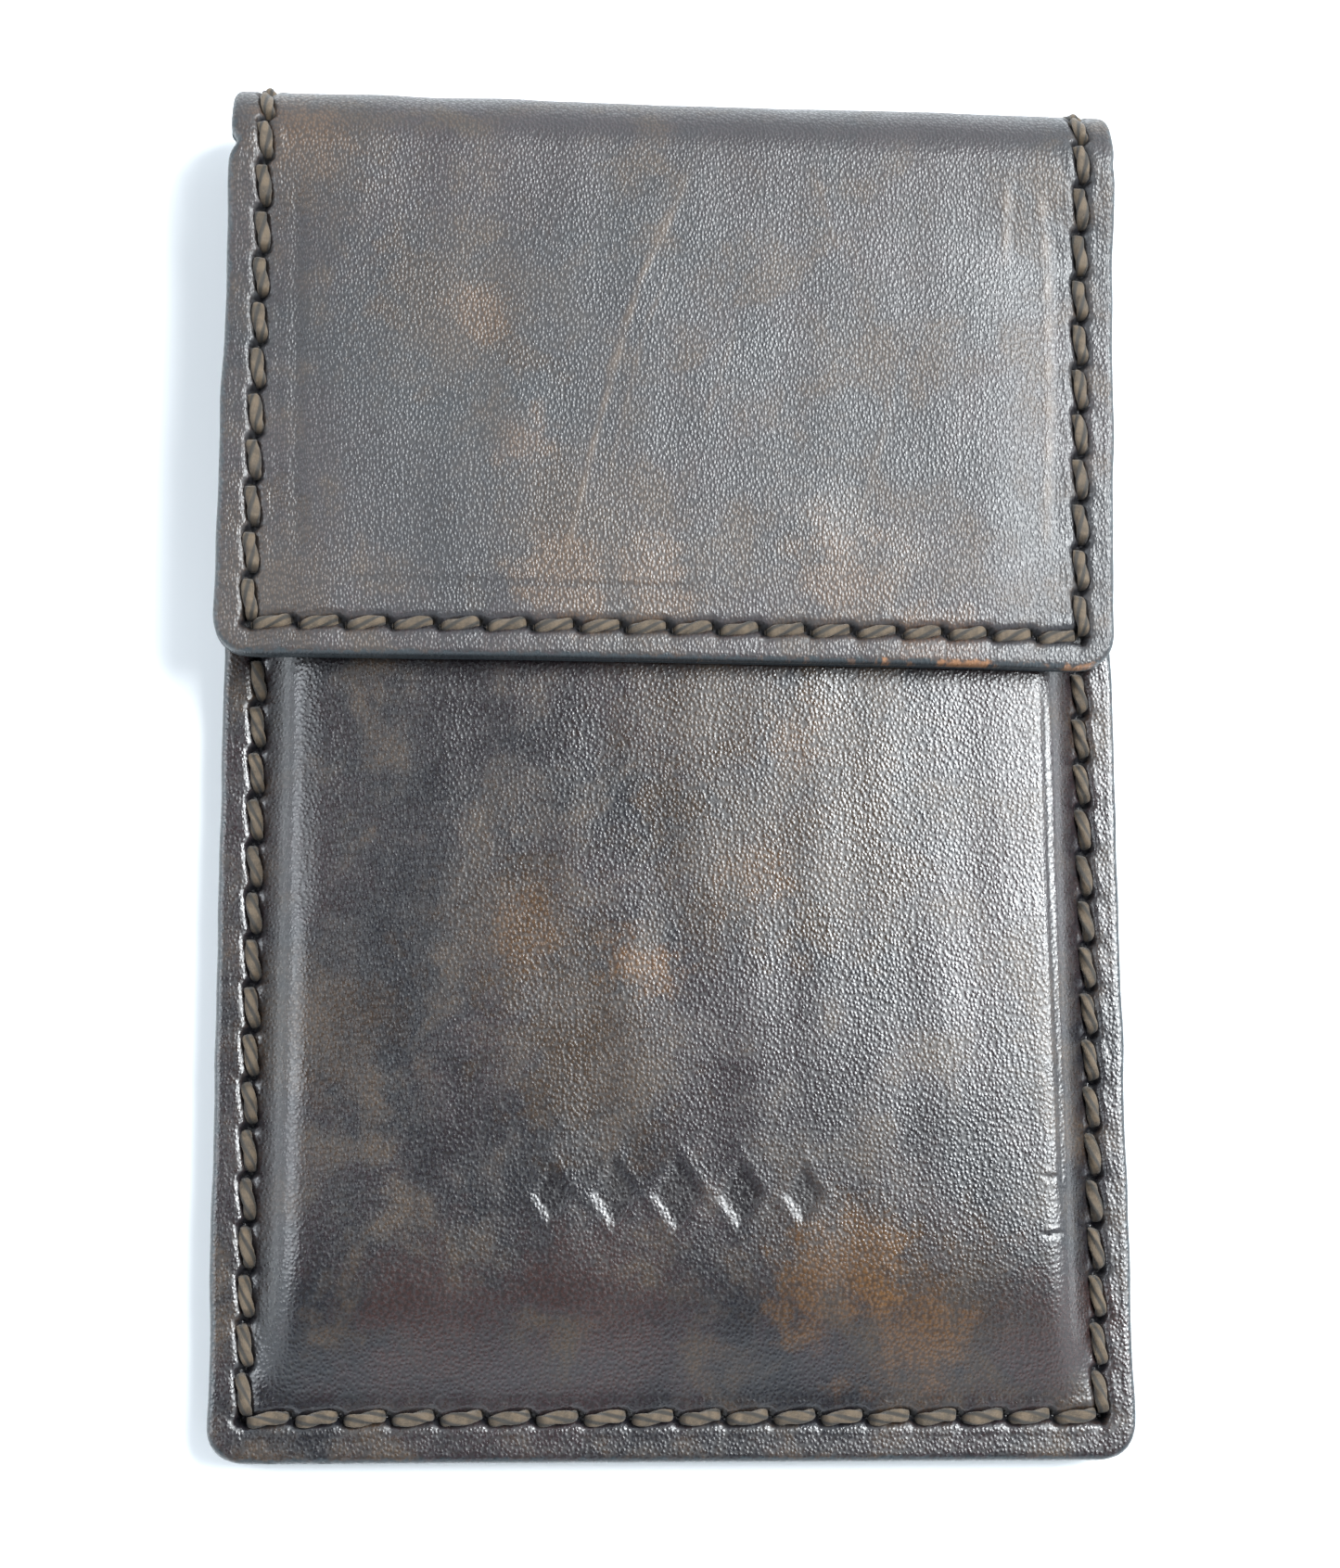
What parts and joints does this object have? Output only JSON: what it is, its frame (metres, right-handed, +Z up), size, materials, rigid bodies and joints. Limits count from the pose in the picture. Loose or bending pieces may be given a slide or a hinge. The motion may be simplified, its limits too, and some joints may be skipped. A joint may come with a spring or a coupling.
{
  "type": "card holder",
  "caption": "Flat stitched leather pocket for business cards, closed by a fold-over leather flap that bends at the fold.",
  "frame": {"origin": "on the resting plane, below the middle of the closed holder", "axes": "+Z up through the layers from the back panel to the flap, +Y from the closed lower end to the fold, +X to the right of someone reading the front"},
  "size_m": [0.0688, 0.103, 0.0106],
  "materials": {
    "outer_leather": "waxed dark brown leather, mottled with black, plum and tan, semi-gloss",
    "lining_leather": "smooth dark brown lining leather, satin",
    "waxed_thread": "twisted waxed thread, olive brown"
  },
  "bodies": {
    "pocket": {"back_panel": "outer_leather", "back_lining": "lining_leather", "front_pocket_panel": "outer_leather", "body_seam_thread": "waxed_thread"},
    "fold_lower": {"fold_leather_lower": "outer_leather", "fold_lining_lower": "lining_leather", "fold_stitch_left_lower": "waxed_thread", "fold_stitch_right_lower": "waxed_thread"},
    "fold_middle": {"fold_leather_middle": "outer_leather", "fold_lining_middle": "lining_leather", "fold_stitch_left_middle": "waxed_thread", "fold_stitch_right_middle": "waxed_thread"},
    "fold_upper": {"fold_leather_upper": "outer_leather", "fold_lining_upper": "lining_leather", "fold_stitch_left_upper": "waxed_thread", "fold_stitch_right_upper": "waxed_thread"},
    "flap": {"flap_panel": "outer_leather", "flap_lining": "lining_leather", "flap_seam_thread": "waxed_thread"}
  },
  "joints": [
    {"name": "flap_bend", "type": "hinge", "parent": "pocket", "child": "fold_lower", "pos_m": [0, 0.04768, 0.00127], "axis": [-1, 0, 0], "range_deg": [0, 42.5], "stiffness_Nm_per_rad": 0.025},
    {"name": "flap_bend_2", "type": "hinge", "parent": "fold_lower", "child": "fold_middle", "pos_m": [0, 0.04998, 0.00357], "axis": [-1, 0, 0], "range_deg": [0, 42.5], "stiffness_Nm_per_rad": 0.025},
    {"name": "flap_bend_3", "type": "hinge", "parent": "fold_middle", "child": "fold_upper", "pos_m": [0, 0.04998, 0.00683], "axis": [-1, 0, 0], "range_deg": [0, 42.5], "stiffness_Nm_per_rad": 0.025},
    {"name": "flap_bend_4", "type": "hinge", "parent": "fold_upper", "child": "flap", "pos_m": [0, 0.04768, 0.00913], "axis": [-1, 0, 0], "range_deg": [0, 42.5], "stiffness_Nm_per_rad": 0.025}
  ],
  "couplings": [
    {"joint": "flap_bend_2", "follows": "flap_bend", "ratio": 1},
    {"joint": "flap_bend_3", "follows": "flap_bend", "ratio": 1},
    {"joint": "flap_bend_4", "follows": "flap_bend", "ratio": 1}
  ]
}
